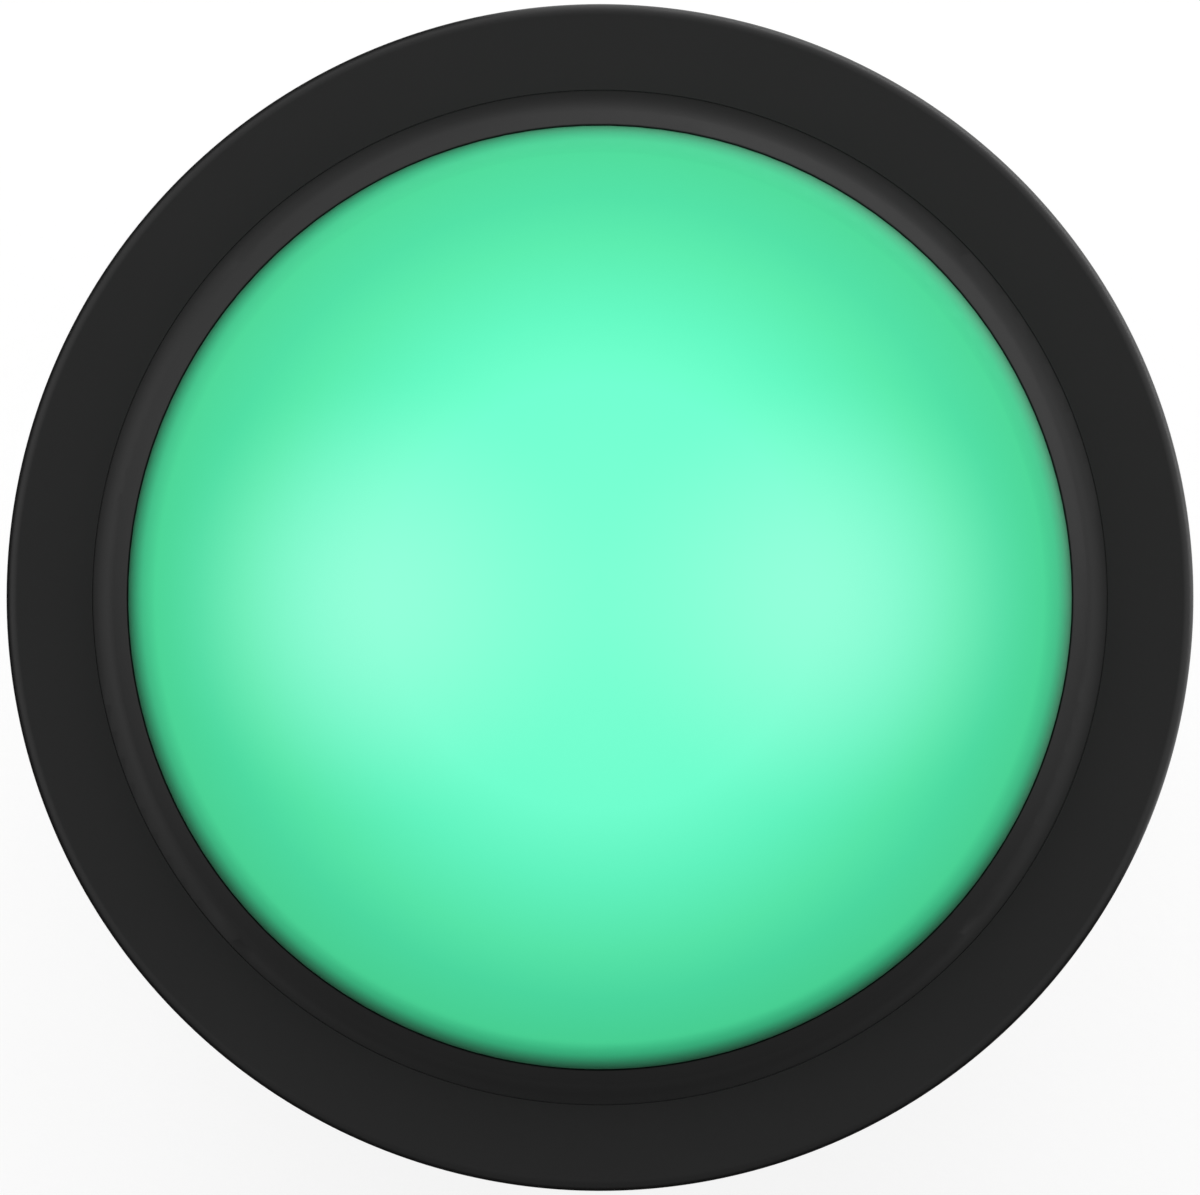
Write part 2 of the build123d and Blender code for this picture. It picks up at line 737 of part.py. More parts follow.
def lock_nut():
    """Ring nut that clamps the panel against the flange, with a washer face and a ribbed grip."""
    top = -panel_gap
    bottom = top - nut_height
    drum_radius = nut_radius - nut_drum_inset
    washer_low = top - nut_washer_height
    nut = rod(nut_radius, washer_low, top)
    nut = chamfer(circles_at(nut, nut_radius, washer_low), nut_chamfer)
    nut += rod(drum_radius, bottom, washer_low)
    rib = rod(nut_rib_radius, bottom, washer_low, x=nut_radius - nut_rib_radius)
    for index in range(nut_rib_count):
        nut += Rot(0, 0, index * 360 / nut_rib_count) * rib
    envelope = rod(nut_radius, bottom, top)
    nut &= chamfer(circles_at(envelope, nut_radius, bottom), nut_drum_inset)
    nut -= rod(nut_bore_radius, bottom, top)
    bore_edges = circles_at(nut, nut_bore_radius, bottom) + circles_at(nut, nut_bore_radius, top)
    return chamfer(bore_edges, nut_lead_in)


nodes = {
    "bezel_ring": bezel_ring(),
    "bezel_body": bezel_body(),
    "trim_ring": trim_ring(),
    "lens_cap": lens_cap(),
    "plunger_carrier": plunger_carrier(),
    "return_spring": return_spring(),
    "retaining_clip": retaining_clip(),
    "led_board": led_board(),
    "led_left": led(-1),
    "led_right": led(1),
    "led_leads": led_leads(),
    "led_resistors": led_resistors(),
    "led_terminal_positive": led_terminal(1),
    "led_terminal_negative": led_terminal(-1),
    "switch_holder": switch_holder(),
    "switch_case": switch_case(),
    "switch_cover": switch_cover(),
    "switch_button": switch_button(),
    "common_terminal": common_terminal(),
    "normally_open_terminal": normally_open_terminal(),
    "normally_closed_terminal": normally_closed_terminal(),
    "moving_blade": moving_blade(),
    "moving_contact": moving_contact(),
    "fixed_contacts": fixed_contacts(),
    "lock_nut": lock_nut(),
}

os.makedirs("parts", exist_ok=True)
for name, shape in nodes.items():
    export_step(shape, f"parts/{name}.step")
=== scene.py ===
import json
from math import cos, radians, sin, tau

import bpy
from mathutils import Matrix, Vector


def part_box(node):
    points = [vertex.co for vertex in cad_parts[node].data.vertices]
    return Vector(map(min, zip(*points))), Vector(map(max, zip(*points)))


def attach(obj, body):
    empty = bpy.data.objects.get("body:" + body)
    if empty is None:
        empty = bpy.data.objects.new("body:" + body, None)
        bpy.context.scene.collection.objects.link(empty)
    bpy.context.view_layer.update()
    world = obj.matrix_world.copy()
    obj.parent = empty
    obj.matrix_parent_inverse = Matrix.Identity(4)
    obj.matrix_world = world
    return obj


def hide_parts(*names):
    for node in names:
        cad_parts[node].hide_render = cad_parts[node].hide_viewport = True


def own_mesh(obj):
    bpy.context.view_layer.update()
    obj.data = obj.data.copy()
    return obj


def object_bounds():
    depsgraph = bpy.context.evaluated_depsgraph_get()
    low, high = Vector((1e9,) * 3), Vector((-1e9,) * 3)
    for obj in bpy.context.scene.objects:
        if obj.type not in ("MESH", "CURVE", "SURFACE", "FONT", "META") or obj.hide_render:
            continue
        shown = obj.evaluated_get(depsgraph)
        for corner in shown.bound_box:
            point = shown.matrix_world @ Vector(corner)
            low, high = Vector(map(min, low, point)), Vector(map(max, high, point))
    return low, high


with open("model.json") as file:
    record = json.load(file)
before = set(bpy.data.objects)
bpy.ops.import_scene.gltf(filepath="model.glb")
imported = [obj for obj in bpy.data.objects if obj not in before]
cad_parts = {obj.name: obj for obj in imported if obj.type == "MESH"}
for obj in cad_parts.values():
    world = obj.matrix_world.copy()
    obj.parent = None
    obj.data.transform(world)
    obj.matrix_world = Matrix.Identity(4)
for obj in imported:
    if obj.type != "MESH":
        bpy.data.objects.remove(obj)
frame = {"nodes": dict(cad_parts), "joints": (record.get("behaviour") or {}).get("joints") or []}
cad_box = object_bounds()


# Bezel ring: a flat injection moulding of black ABS, with a round outer edge and a seat for the trim ring.
# It is welded onto the body's slanted upper end. Its mould is spark eroded, which gives a fine even grain.

mm = 0.001


def linear(hex_colour):
    """An sRGB hex colour as the linear RGBA that a socket takes."""
    channels = [int(hex_colour[start:start + 2], 16) / 255 for start in (1, 3, 5)]
    return [c / 12.92 if c <= 0.04045 else ((c + 0.055) / 1.055) ** 2.4 for c in channels] + [1]


def fill(tree, node, inputs):
    """Gives each named input of a node its value, or its link where the value is another node's output."""
    for name, value in inputs.items():
        socket = next(s for s in node.inputs if name in (s.identifier, s.name))
        if isinstance(value, bpy.types.NodeSocket):
            tree.links.new(value, socket)
        else:
            socket.default_value = value


def add_node(tree, kind, inputs, output, **settings):
    """Adds a node with its settings and links, and returns the output that the next node takes."""
    node = tree.nodes.new("ShaderNode" + kind)
    for name, value in settings.items():
        setattr(node, name, value)
    fill(tree, node, inputs)
    return next(s for s in node.outputs if output in (s.identifier, s.name))


def new_material(name):
    """A node material, with its node tree, its surface shader and the place on the object in metres."""
    material = bpy.data.materials.new(name)
    material.use_nodes = True
    tree = material.node_tree
    place = add_node(tree, "TexCoord", {}, "Object")
    return material, tree, tree.nodes["Principled BSDF"], place


def moulded_plastic(name, dark, pale, ior, roughness, grain_width, grain_depth):
    """A moulded plastic: two near shades in soft clouds, under the mould face's grain sized in mm."""
    material, tree, shader, place = new_material(name)
    cloud_width = 3 * mm
    clouds = add_node(tree, "TexNoise", {"Vector": place, "Scale": 1 / cloud_width}, "Fac")
    shades = {"Factor": clouds, "A_Color": linear(dark), "B_Color": linear(pale)}
    shade = add_node(tree, "Mix", shades, "Result_Color", data_type="RGBA")
    grain_scale = 1 / (grain_width * mm)
    grain = add_node(tree, "TexNoise", {"Vector": place, "Scale": grain_scale, "Detail": 3}, "Fac")
    relief = add_node(tree, "Bump", {"Height": grain, "Distance": grain_depth * mm}, "Normal")
    fill(tree, shader, {"Base Color": shade, "Roughness": roughness, "IOR": ior, "Normal": relief})
    return material


def grid_faces(rows, columns, wrap, closed=False):
    """Quads between rows of points. Wrap joins a row's two ends, and closed the last row to the first."""
    faces = []
    for row in range(rows if closed else rows - 1):
        low = row * columns
        high = (row + 1) % rows * columns
        for here in range(columns if wrap else columns - 1):
            there = (here + 1) % columns
            faces.append((low + here, low + there, high + there, high + here))
    return faces


def add_piece(name, points, faces, material, body):
    """A new smooth mesh piece in the part's own frame, which rides on a body."""
    mesh = bpy.data.meshes.new(name)
    mesh.from_pydata(points, [], faces)
    mesh.shade_smooth()
    real_edge = radians(35)
    mesh.set_sharp_from_angle(angle=real_edge)
    mesh.materials.append(material)
    piece = bpy.data.objects.new(name, mesh)
    bpy.context.scene.collection.objects.link(piece)
    piece.modifiers.new("even_normals", "WEIGHTED_NORMAL").keep_sharp = True
    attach(piece, body)
    return piece


# Satin black: the grain spreads each highlight into a soft sheen. The real grain is about 0.05 mm
# across, and is drawn at 0.12 mm, the finest that the render can show.
satin_abs = moulded_plastic("Spark-eroded satin ABS", "#151515", "#181818", 1.53, 0.42, 0.12, 0.002)

ring_low, ring_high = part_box("bezel_ring")
trim_low, trim_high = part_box("trim_ring")
body_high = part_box("bezel_body")[1]
edge_radius = 0.3 * mm
lip_radius = 0.01 * mm
seat_clearance = 0.001 * mm
lens_clearance = 0.2 * mm
weld_clearance = 0.01 * mm
key_clearance = 0.12 * mm
groove_half_width = 1.32 * mm
bezel_radius = ring_high.x
seat_radius = trim_high.x + seat_clearance
bore_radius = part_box("lens_cap")[1].x + lens_clearance
weld_radius = body_high.x + weld_clearance
weld_depth = body_high.z
groove_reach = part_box("plunger_carrier")[1].y + key_clearance
bezel_profile = [
    (bore_radius, weld_depth),
    (weld_radius - weld_depth, weld_depth),
    (weld_radius, ring_low.z),
    (bezel_radius, ring_low.z),
]
round_steps = 10
quarter = [step / round_steps * tau / 4 for step in range(round_steps + 1)]
for turn in quarter:
    edge_reach = bezel_radius - edge_radius * (1 - cos(turn))
    bezel_profile.append((edge_reach, ring_high.z - edge_radius * (1 - sin(turn))))
for turn in quarter:
    lip_reach = seat_radius + lip_radius * (1 - sin(turn))
    bezel_profile.append((lip_reach, ring_high.z - lip_radius * (1 - cos(turn))))
bezel_profile += [(seat_radius, trim_low.z), (bore_radius, trim_low.z)]
bezel_columns = 360
bezel_points = []
for radius, height in bezel_profile:
    for column in range(bezel_columns):
        angle = column / bezel_columns * tau
        in_key_groove = radius == bore_radius and abs(radius * cos(angle)) < groove_half_width
        reach = groove_reach / abs(sin(angle)) if in_key_groove else radius
        bezel_points.append((reach * cos(angle), reach * sin(angle), height))
bezel_faces = grid_faces(len(bezel_profile), bezel_columns, wrap=True, closed=True)
bezel = add_piece("bezel_moulding", bezel_points, bezel_faces, satin_abs, "body")
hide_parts("bezel_ring")


# Body: the shoulder and threaded barrel, with the lamp floor and the stem's guide inside it.
# One injection moulding of the same satin black ABS as the bezel ring.


def dress(material, *names):
    """Gives CAD nodes this material, and shades their facets smooth up to the real edges."""
    facet_gap = 0.0001 * mm
    real_edge = radians(40)
    for name in names:
        node = frame["nodes"][name]
        node.data.materials.clear()
        node.data.materials.append(material)
        node.modifiers.new("weld_facets", "WELD").merge_threshold = facet_gap
        node.modifiers.new("keep_edges", "EDGE_SPLIT").split_angle = real_edge
        node.modifiers.new("even_normals", "WEIGHTED_NORMAL")


dress(satin_abs, "bezel_body")


# Trim ring: a separate black ABS ring, pressed into the bezel round the lens.
# Its mould is polished a little finer, so the hollow of its top shows a clearer gradient.

# Fine satin black: half as deep a grain as the bezel's, drawn as wide, so the sheen is a little sharper.
fine_abs = moulded_plastic("Fine satin ABS", "#131313", "#151515", 1.53, 0.36, 0.12, 0.001)
dress(fine_abs, "trim_ring")


# Lens cap: one moulding of green translucent polycarbonate, clicked onto the carrier below it.
# Two lamps under it light it from inside. Their light is painted on as the lens's own glow, brightest in a
# painted hot spot over each lamp and painted dark at its rim.

lens_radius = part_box("lens_cap")[1].x
# Painted hot spots: where each sits over its lamp, how far it reaches, and how much of its paler green it
# mixes in.
painted_hot_spot_x = 0.46 * lens_radius
painted_hot_spot_reach = 0.5 * lens_radius
painted_hot_spot_share = 0.75
flow_width = 4 * mm
flow_depth = 0.002 * mm

# Diffusing plastic: a green body colour, painted darker towards the rim as shade, with the light of the
# lamps behind it painted on as its own glow.
# The skin is matt, so the edge takes the room's light softly. The painted glow fades from the middle to the
# rim.
glow_painted_polycarbonate, tree, shader, place = new_material("Translucent polycarbonate with painted glow")
level_only = {"Vector": place, "Vector_001": (1, 1, 0)}
flat_place = add_node(tree, "VectorMath", level_only, "Vector", operation="MULTIPLY")
distance = add_node(tree, "VectorMath", {"Vector": flat_place}, "Value", operation="LENGTH")
share = add_node(tree, "Math", {"Value": distance, "Value_001": lens_radius}, "Value", operation="DIVIDE")
# Body colour by distance from the middle, darker towards the rim: painted shade.
body_and_painted_rim_shade_stops = ((0.94, "#3dbc83"), (0.97, "#28a975"), (0.985, "#149868"), (1, "#186a48"))
painted_glow_stops = (
    (0, "#6ac4b1"),
    (0.45, "#59c5ab"),
    (0.6, "#45b597"),
    (0.75, "#33a079"),
    (0.85, "#1d8b69"),
    (0.94, "#157f56"),
    (0.97, "#156947"),
    (0.985, "#06301e"),
    (1, "#000000"),
)
ramps = []
for stops in (body_and_painted_rim_shade_stops, painted_glow_stops):
    ramp = add_node(tree, "ValToRGB", {"Fac": share}, "Color")
    elements = ramp.node.color_ramp.elements
    while len(elements) < len(stops):
        elements.new(1)
    for element, (at, colour) in zip(elements, stops):
        element.position = at
        element.color = linear(colour)
    ramps.append(ramp)
body_colour_with_painted_rim_shade, painted_glow = ramps
# A painted hot spot over each lamp: paler green mixed into the painted glow, fading with distance from the
# lamp.
for side in (-1, 1):
    offset = {"Vector": flat_place, "Vector_001": (side * painted_hot_spot_x, 0, 0)}
    from_lamp = add_node(tree, "VectorMath", offset, "Value", operation="DISTANCE")
    fade = {"Value": from_lamp, "From Max": painted_hot_spot_reach, "To Min": painted_hot_spot_share, "To Max": 0}
    painted_hot_spot = add_node(tree, "MapRange", fade, "Result", interpolation_type="SMOOTHSTEP")
    painted_hot_spot_mix = {"Factor": painted_hot_spot, "A_Color": painted_glow, "B_Color": linear("#8dc4bd")}
    painted_glow = add_node(tree, "Mix", painted_hot_spot_mix, "Result_Color", data_type="RGBA")
flow = add_node(tree, "TexNoise", {"Vector": place, "Scale": 1 / flow_width, "Detail": 1}, "Fac")
ripple = add_node(tree, "Bump", {"Height": flow, "Distance": flow_depth}, "Normal")
fill(tree, shader, {
    "Base Color": body_colour_with_painted_rim_shade,
    "Roughness": 0.6,
    "IOR": 1.585,
    "Emission Color": painted_glow,
    "Emission Strength": 1,
    "Normal": ripple,
})
dress(glow_painted_polycarbonate, "lens_cap")


# Plunger carrier: white acetal moulding under the lens, with four spokes, two keys and a long stem.
# Its snap lugs click into the lens's windows, and the stem runs in the body's guide.

# Natural acetal: milky white and slightly waxy, left smooth by the mould.
natural_acetal = moulded_plastic("Natural white acetal", "#e4e3dc", "#ecebe5", 1.48, 0.4, 0.2, 0.001)
dress(natural_acetal, "plunger_carrier")


# Return spring: coil of drawn steel wire round the stem, with closed ends ground flat.
# It sits between the lamp floor and the carrier's hub, and shortens as the button is pressed.


def worked_metal(name, colour, shine, roughness, mark_size, mark_depth):
    """A metal in two close shades, with fine marks of how it was worked, sized in mm."""
    material, tree, shader, place = new_material(name)
    stretch = {"Vector": place, "Vector_001": [1 / (size * mm) for size in mark_size]}
    along = add_node(tree, "VectorMath", stretch, "Vector", operation="MULTIPLY")
    marks = add_node(tree, "TexNoise", {"Vector": along, "Scale": 1, "Detail": 4}, "Fac")
    shades = {"Factor": marks, "A_Color": linear(colour), "B_Color": linear(shine)}
    shade = add_node(tree, "Mix", shades, "Result_Color", data_type="RGBA")
    relief = add_node(tree, "Bump", {"Height": marks, "Distance": mark_depth * mm}, "Normal")
    fill(tree, shader, {"Base Color": shade, "Metallic": 1, "Roughness": roughness, "Normal": relief})
    return material


# Drawn wire: bright grey, with faint lines left by the drawing die.
drawn_steel = worked_metal("Drawn spring steel", "#a2a19e", "#b4b3b0", 0.28, (0.1, 0.1, 0.4), 0.001)

press = next(joint for joint in frame["joints"] if joint["name"] == "button_press")
spring_floor = press["deforming_nodes"][0]["fixed_end_z_m"]
spring_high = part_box("return_spring")[1]
wire_radius = 0.3 * mm
coil_radius = spring_high.x - wire_radius
coil_turns = 8
closed_turns = 1
steps_per_turn = 40
wire_sides = 12
free_length = spring_high.z - spring_floor
open_turns = coil_turns - 2 * closed_turns
open_pitch = (free_length - 4 * closed_turns * wire_radius - wire_radius) / open_turns
spring_points = []
for step in range(coil_turns * steps_per_turn + 1):
    turn = step / steps_per_turn
    closed_part = min(turn, closed_turns) + max(0, turn - (coil_turns - closed_turns))
    open_part = min(max(0, turn - closed_turns), open_turns)
    height = spring_floor + wire_radius / 2 + closed_part * 2 * wire_radius + open_part * open_pitch
    for side in range(wire_sides):
        round_wire = -side / wire_sides * tau
        radius = coil_radius + wire_radius * cos(round_wire)
        ground = min(max(height + wire_radius * sin(round_wire), spring_floor), spring_high.z)
        spring_points.append((radius * cos(turn * tau), radius * sin(turn * tau), ground))
spring_faces = grid_faces(coil_turns * steps_per_turn + 1, wire_sides, wrap=True)
spring_faces.append(tuple(range(wire_sides)))
spring_faces.append(tuple(reversed(range(len(spring_points) - wire_sides, len(spring_points)))))
spring = add_piece("coil_spring", spring_points, spring_faces, drawn_steel, "body")
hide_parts("return_spring")
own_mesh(spring)


# Retaining clip: an open clip with three prongs, stamped from hardened steel strip.
# It is pushed into the stem's groove below the guide, and keeps the plunger in the body.

# Phosphated strip: dark dull grey, with faint rolling lines.
clip_steel = worked_metal("Phosphated steel strip", "#4b4a48", "#5c5a57", 0.45, (0.6, 0.05, 0.05), 0.001)
dress(clip_steel, "retaining_clip")


# Lamp board: a ring of glass-filled epoxy board with white solder mask, dropped onto the body's floor.
# The lamps, chip resistors and two blades are soldered to it.

# White solder mask over woven glass; the cut edges show the bare yellowish laminate.
masked_board, tree, shader, place = new_material("White solder mask on glass laminate")
weave_pitch = 0.5 * mm
weave_depth = 0.004 * mm
wave_period_at_scale_1 = tau / 20
weave_scale = {"Vector": place, "Scale": wave_period_at_scale_1 / weave_pitch}
weave = add_node(tree, "TexWave", weave_scale, "Fac", bands_direction="DIAGONAL")
facing = add_node(tree, "NewGeometry", {}, "Normal")
upright = add_node(tree, "SeparateXYZ", {"Vector": facing}, "Z")
flatness = add_node(tree, "Math", {"Value": upright}, "Value", operation="ABSOLUTE")
board_shades = {"Factor": flatness, "A_Color": linear("#c3b382"), "B_Color": linear("#e6e9e4")}
board_shade = add_node(tree, "Mix", board_shades, "Result_Color", data_type="RGBA")
weave_relief = add_node(tree, "Bump", {"Height": weave, "Distance": weave_depth}, "Normal")
fill(tree, shader, {"Base Color": board_shade, "Roughness": 0.35, "IOR": 1.5, "Normal": weave_relief})
dress(masked_board, "led_board")

# Lamp epoxy: clear green casting resin, glossy and slightly cloudy from the diffuser in it.
lamp_epoxy, tree, shader, place = new_material("Tinted casting epoxy")
diffuser_width = 0.8 * mm
diffuser = add_node(tree, "TexNoise", {"Vector": place, "Scale": 1 / diffuser_width}, "Fac")
tints = {"Factor": diffuser, "A_Color": linear("#8fe8bf"), "B_Color": linear("#b4f5d6")}
tint = add_node(tree, "Mix", tints, "Result_Color", data_type="RGBA")
fill(tree, shader, {"Base Color": tint, "Roughness": 0.08, "IOR": 1.54, "Transmission Weight": 0.8})
dress(lamp_epoxy, "led_left", "led_right")

# Tinned wire and solder: bright soft metal with a slightly uneven skin.
tinned_wire = worked_metal("Tinned copper wire", "#b9b9b6", "#cfcfcb", 0.25, (0.2, 0.2, 0.2), 0.004)
dress(tinned_wire, "led_leads")

# Thick-film chip: glazed black body with tinned ends.
chip_glaze, tree, shader, place = new_material("Glazed chip with tinned ends")
chip_cap_length = 0.5 * mm
chip_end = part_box("led_resistors")[1].x - chip_cap_length
across = add_node(tree, "SeparateXYZ", {"Vector": place}, "X")
from_middle = add_node(tree, "Math", {"Value": across}, "Value", operation="ABSOLUTE")
ends = {"Value": from_middle, "Value_001": chip_end}
tinned = add_node(tree, "Math", ends, "Value", operation="GREATER_THAN")
chip_shades = {"Factor": tinned, "A_Color": linear("#141416"), "B_Color": linear("#c8c8c4")}
chip_shade = add_node(tree, "Mix", chip_shades, "Result_Color", data_type="RGBA")
fill(tree, shader, {"Base Color": chip_shade, "Metallic": tinned, "Roughness": 0.3})
dress(chip_glaze, "led_resistors")

# Solder: a hollow-sided cone round each lead on the board's underside.
board_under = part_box("led_board")[0].z
lead_low, lead_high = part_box("led_leads")
lead_radius = lead_high.y
lead_places = [lead_low.x + lead_radius, lead_high.x - lead_radius]
lead_spacing = 2.54 * mm
lead_places += [lead_places[0] + lead_spacing, lead_places[1] - lead_spacing]
solder_radius = 0.85 * mm
solder_height = 0.75 * mm
solder_hollow = 2.2
solder_rows = 8
solder_columns = 24
for number, lead_x in enumerate(lead_places, start=1):
    solder_points = []
    for row in range(solder_rows + 1):
        rise = row / solder_rows
        radius = lead_radius + (solder_radius - lead_radius) * rise**solder_hollow
        for column in range(solder_columns):
            angle = column / solder_columns * tau
            height = board_under - solder_height * (1 - rise)
            solder_points.append((lead_x + radius * cos(angle), radius * sin(angle), height))
    solder_faces = grid_faces(solder_rows + 1, solder_columns, wrap=True)
    solder_name = f"solder_joint_{number}"
    add_piece(solder_name, solder_points, solder_faces, tinned_wire, "body")


# Blades: stamped from brass strip and tin plated, two on the lamp board and three in the switch.
# Shearing leaves bare brass on their edges, and rolling leaves fine lines along them.


def tinned_brass(name, face_axis, mark_size):
    """Tin plate on the blade's broad faces, thinning to bare brass on the sheared edges."""
    material = worked_metal(name, "#b5b2a8", "#c9c6bd", 0.3, mark_size, 0.002)
    tree = material.node_tree
    shader = tree.nodes["Principled BSDF"]
    plate = shader.inputs["Base Color"].links[0].from_socket
    facing = add_node(tree, "NewGeometry", {}, "Normal")
    sideways = add_node(tree, "SeparateXYZ", {"Vector": facing}, face_axis)
    broad = add_node(tree, "Math", {"Value": sideways}, "Value", operation="ABSOLUTE")
    blend = {"Factor": broad, "A_Color": linear("#b79a5e"), "B_Color": plate}
    fill(tree, shader, {"Base Color": add_node(tree, "Mix", blend, "Result_Color", data_type="RGBA")})
    return material


# Dull silvery plate, warm at the edges.
lamp_blade_brass = tinned_brass("Tinned brass strip, lamp blades", "Y", (0.08, 0.5, 2))
dress(lamp_blade_brass, "led_terminal_positive", "led_terminal_negative")
switch_blade_brass = tinned_brass("Tinned brass strip, switch blades", "X", (0.5, 0.08, 2))
dress(switch_blade_brass, "common_terminal", "normally_open_terminal", "normally_closed_terminal")


# Switch holder: black nylon moulding that closes the barrel and carries the switch between two cheeks.
# Its barbs click into the barrel's windows, and its pegs into the switch's mounting holes.

# Glass-filled nylon: matt black with a coarse, slightly streaky skin.
glass_nylon = moulded_plastic("Glass-filled black nylon", "#171717", "#1f1f1f", 1.53, 0.55, 0.2, 0.006)
dress(glass_nylon, "switch_holder")


# Microswitch: a tray and a cover of dark phenolic moulding, with a red push pin through its top.
# The cover is bonded over the tray after the contacts are in.

# Phenolic: dull dark grey, flecked by its mineral filler.
phenolic = moulded_plastic("Mineral-filled phenolic", "#242527", "#2b2c2e", 1.6, 0.5, 0.15, 0.004)
dress(phenolic, "switch_case", "switch_cover")

# Red acetal, smooth and slightly waxy.
red_acetal = moulded_plastic("Red acetal", "#a81a12", "#b52017", 1.48, 0.35, 0.2, 0.001)
dress(red_acetal, "switch_button")


# Contacts inside the switch: a leaf of rolled copper alloy, which rocks on the common blade.
# Coined silver rivets are set in its tip and in the arms of the two fixed blades.

# Rolled spring alloy: warm copper with fine lines along the leaf.
spring_copper = worked_metal("Rolled copper spring alloy", "#a56a3f", "#b97d50", 0.3, (2, 0.08, 0.5), 0.001)
dress(spring_copper, "moving_blade")

# Coined silver: pale and bright, with a fine matt face.
coined_silver = worked_metal("Coined contact silver", "#d3d1cb", "#e0ded8", 0.22, (0.1, 0.1, 0.1), 0.001)
dress(coined_silver, "moving_contact", "fixed_contacts")


# Ring nut: a moulding with a washer face and a ribbed grip, of the same black nylon as the holder.
# It is run up the barrel's thread, and clamps the panel against the bezel.

dress(glass_nylon, "lock_nut")


# Studio floor: seamless white paper just under the blades, which shows the button's soft shadow.
# It is clear from below, so that the underside can be looked at too.

floor_half = 1.5
floor_gap = 0.5 * mm
floor_z = cad_box[0].z - floor_gap
floor_mesh = bpy.data.meshes.new("studio_floor")
floor_corners = [(x * floor_half, y * floor_half, floor_z) for x, y in ((-1, -1), (1, -1), (1, 1), (-1, 1))]
floor_mesh.from_pydata(floor_corners, [], [(0, 1, 2, 3)])
floor = bpy.data.objects.new("studio_floor", floor_mesh)
bpy.context.scene.collection.objects.link(floor)


def seen_directly(tree, *rays):
    """1 for these kinds of ray, which show the background itself, and 0 for those that carry its light."""
    seen = 0
    for ray in rays:
        either = {"Value": seen, "Value_001": add_node(tree, "LightPath", {}, ray)}
        seen = add_node(tree, "Math", either, "Value", operation="MAXIMUM")
    return seen


# White paper: pure white where the light is even, with part of the real shadow kept on it.
paper, tree, shader, place = new_material("White studio paper")
fibre_width = 0.4 * mm
fibre_depth = 0.01 * mm
fibre = add_node(tree, "TexNoise", {"Vector": place, "Scale": 1 / fibre_width}, "Fac")
fibre_relief = add_node(tree, "Bump", {"Height": fibre, "Distance": fibre_depth}, "Normal")
fill(tree, shader, {"Base Color": linear("#f2f2f2"), "Roughness": 0.9, "Normal": fibre_relief})
shadow_kept = 0.3
even_light = 0.7
white_strength = (1 - shadow_kept * even_light) / (1 - shadow_kept)
white = add_node(tree, "Emission", {"Strength": white_strength}, "Emission")
seen = seen_directly(tree, "Is Camera Ray", "Is Glossy Ray", "Is Transmission Ray")
seen_share = {"Value": seen, "Value_001": 1 - shadow_kept}
white_share = add_node(tree, "Math", seen_share, "Value", operation="MULTIPLY")
whitened = {"Fac": white_share, "Shader": shader.outputs["BSDF"], "Shader_001": white}
front = add_node(tree, "MixShader", whitened, "Shader")
clear = add_node(tree, "BsdfTransparent", {}, "BSDF")
from_below = add_node(tree, "NewGeometry", {}, "Backfacing")
sides = {"Fac": from_below, "Shader": front, "Shader_001": clear}
fill(tree, tree.nodes["Material Output"], {"Surface": add_node(tree, "MixShader", sides, "Shader")})
floor_mesh.materials.append(paper)


# Studio room: a dim ceiling over pale walls, brighter behind the button than in front of it.
# Seen directly it is plain white. Reflections show the room itself, so that the satin black stays dark.

world = bpy.context.scene.world or bpy.data.worlds.new("Studio room")
bpy.context.scene.world = world
world.use_nodes = True
tree = world.node_tree
ceiling = 0.15
front_wall = 0.36
back_wall = 1.1
direction = add_node(tree, "TexCoord", {}, "Generated")
backwards = add_node(tree, "SeparateXYZ", {"Vector": direction}, "Y")
upwards = add_node(tree, "SeparateXYZ", {"Vector": direction}, "Z")
walls = {"Value": backwards, "From Min": -1, "From Max": 0.9, "To Min": front_wall, "To Max": back_wall}
wall = add_node(tree, "MapRange", walls, "Result", interpolation_type="SMOOTHSTEP")
room = add_node(tree, "MapRange", {"Value": upwards, "To Min": wall, "To Max": ceiling}, "Result")
seen = seen_directly(tree, "Is Camera Ray", "Is Transmission Ray")
level = add_node(tree, "MapRange", {"Value": seen, "To Min": room, "To Max": 1}, "Result")
fill(tree, tree.nodes["Background"], {"Color": (1, 1, 1, 1), "Strength": level})


# Studio lamps: a broad fill high at the back, a soft box at each side and a low strip at the back right.
# They stand outside the picture. The fill is not mirrored, so that the satin face stays dark.


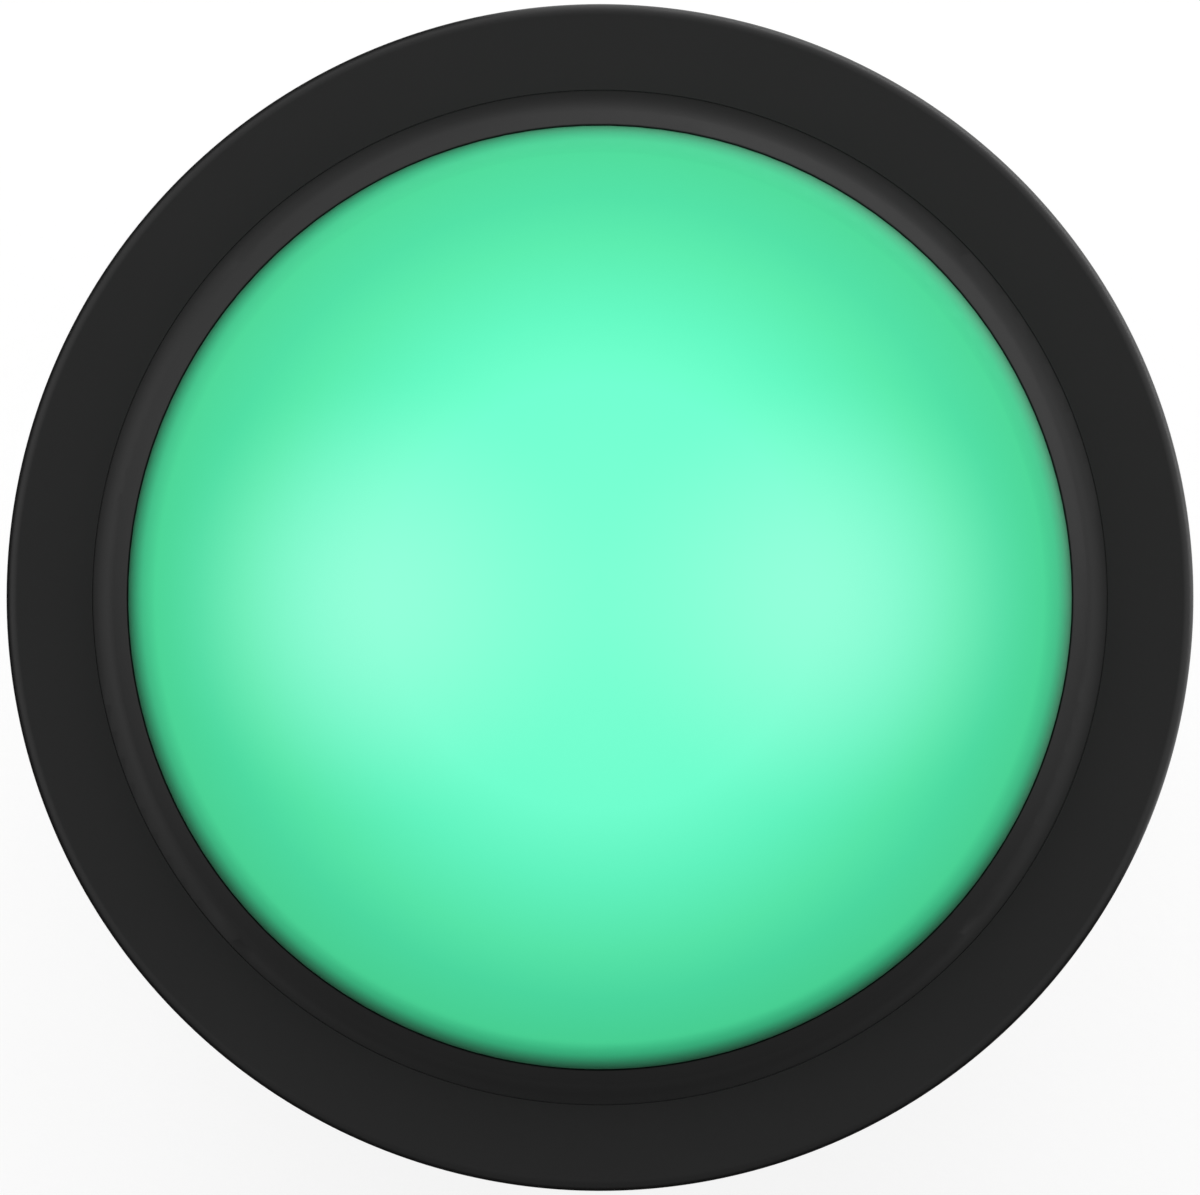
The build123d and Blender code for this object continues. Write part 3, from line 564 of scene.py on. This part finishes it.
def softbox(name, place, width, height, radiance, mirrored):
    """A soft box at a place, aimed at the button's face; its power gives the panel this radiance."""
    lamp = bpy.data.lights.new(name, "AREA")
    lamp.shape = "RECTANGLE"
    lamp.size = width
    lamp.size_y = height
    watts_per_radiance = 4 * width * height
    lamp.energy = watts_per_radiance * radiance
    stand = bpy.data.objects.new(name, lamp)
    stand.location = place
    stand.rotation_euler = (-Vector(place)).to_track_quat("-Z", "Y").to_euler()
    stand.visible_camera = False
    stand.visible_glossy = mirrored
    bpy.context.scene.collection.objects.link(stand)


softbox("fill_softbox", (0, 0.42, 0.42), width=0.6, height=0.6, radiance=1.75, mirrored=False)
softbox("left_softbox", (-0.32, 0, 0.38), width=0.5, height=0.5, radiance=0.33, mirrored=True)
softbox("right_softbox", (0.32, 0, 0.38), width=0.5, height=0.5, radiance=0.33, mirrored=True)
softbox("edge_strip", (0.19, 0.17, -0.028), width=0.45, height=0.045, radiance=3.2, mirrored=True)

# Black card: a low curved flag at the left and front, which keeps the bezel's edge dark on those sides.
# Only reflections see it.
card_radius = 25 * mm
card_low = -25 * mm
card_top = 2.7 * mm
card_start = radians(115)
card_sweep = radians(235)
card_columns = 40
card_points = []
for height in (card_low, card_top):
    for column in range(card_columns):
        angle = card_start + card_sweep * column / (card_columns - 1)
        card_points.append((card_radius * sin(angle), card_radius * cos(angle), height))
card_mesh = bpy.data.meshes.new("black_card")
card_mesh.from_pydata(card_points, [], grid_faces(2, card_columns, wrap=False))

# Flock: the dullest black, with no sheen of its own.
black_flock = moulded_plastic("Black flock card", "#0a0a0a", "#0e0e0e", 1.5, 1.0, 0.3, 0.02)
card_mesh.materials.append(black_flock)
card = bpy.data.objects.new("black_card", card_mesh)
card.visible_camera = False
card.visible_diffuse = False
card.visible_transmission = False
card.visible_shadow = False
bpy.context.scene.collection.objects.link(card)


# Camera: straight above the button's face, as in the photograph, with a long lens.
# The picture is scaled on the bezel's widest edge, which fills nearly its whole width.

photo_width = 1200
bezel_radius_in_photo = 593.5
widest_edge = ring_high.z - edge_radius
camera_data = bpy.data.cameras.new("camera")
camera_data.lens = 600
frame_width = cad_box[1].x * photo_width / bezel_radius_in_photo
camera_distance = frame_width * camera_data.lens / camera_data.sensor_width
camera = bpy.data.objects.new("camera", camera_data)
camera.location = (0, 0, widest_edge + camera_distance)
bpy.context.scene.collection.objects.link(camera)
bpy.context.scene.camera = camera
bpy.context.scene.view_settings.view_transform = "Standard"
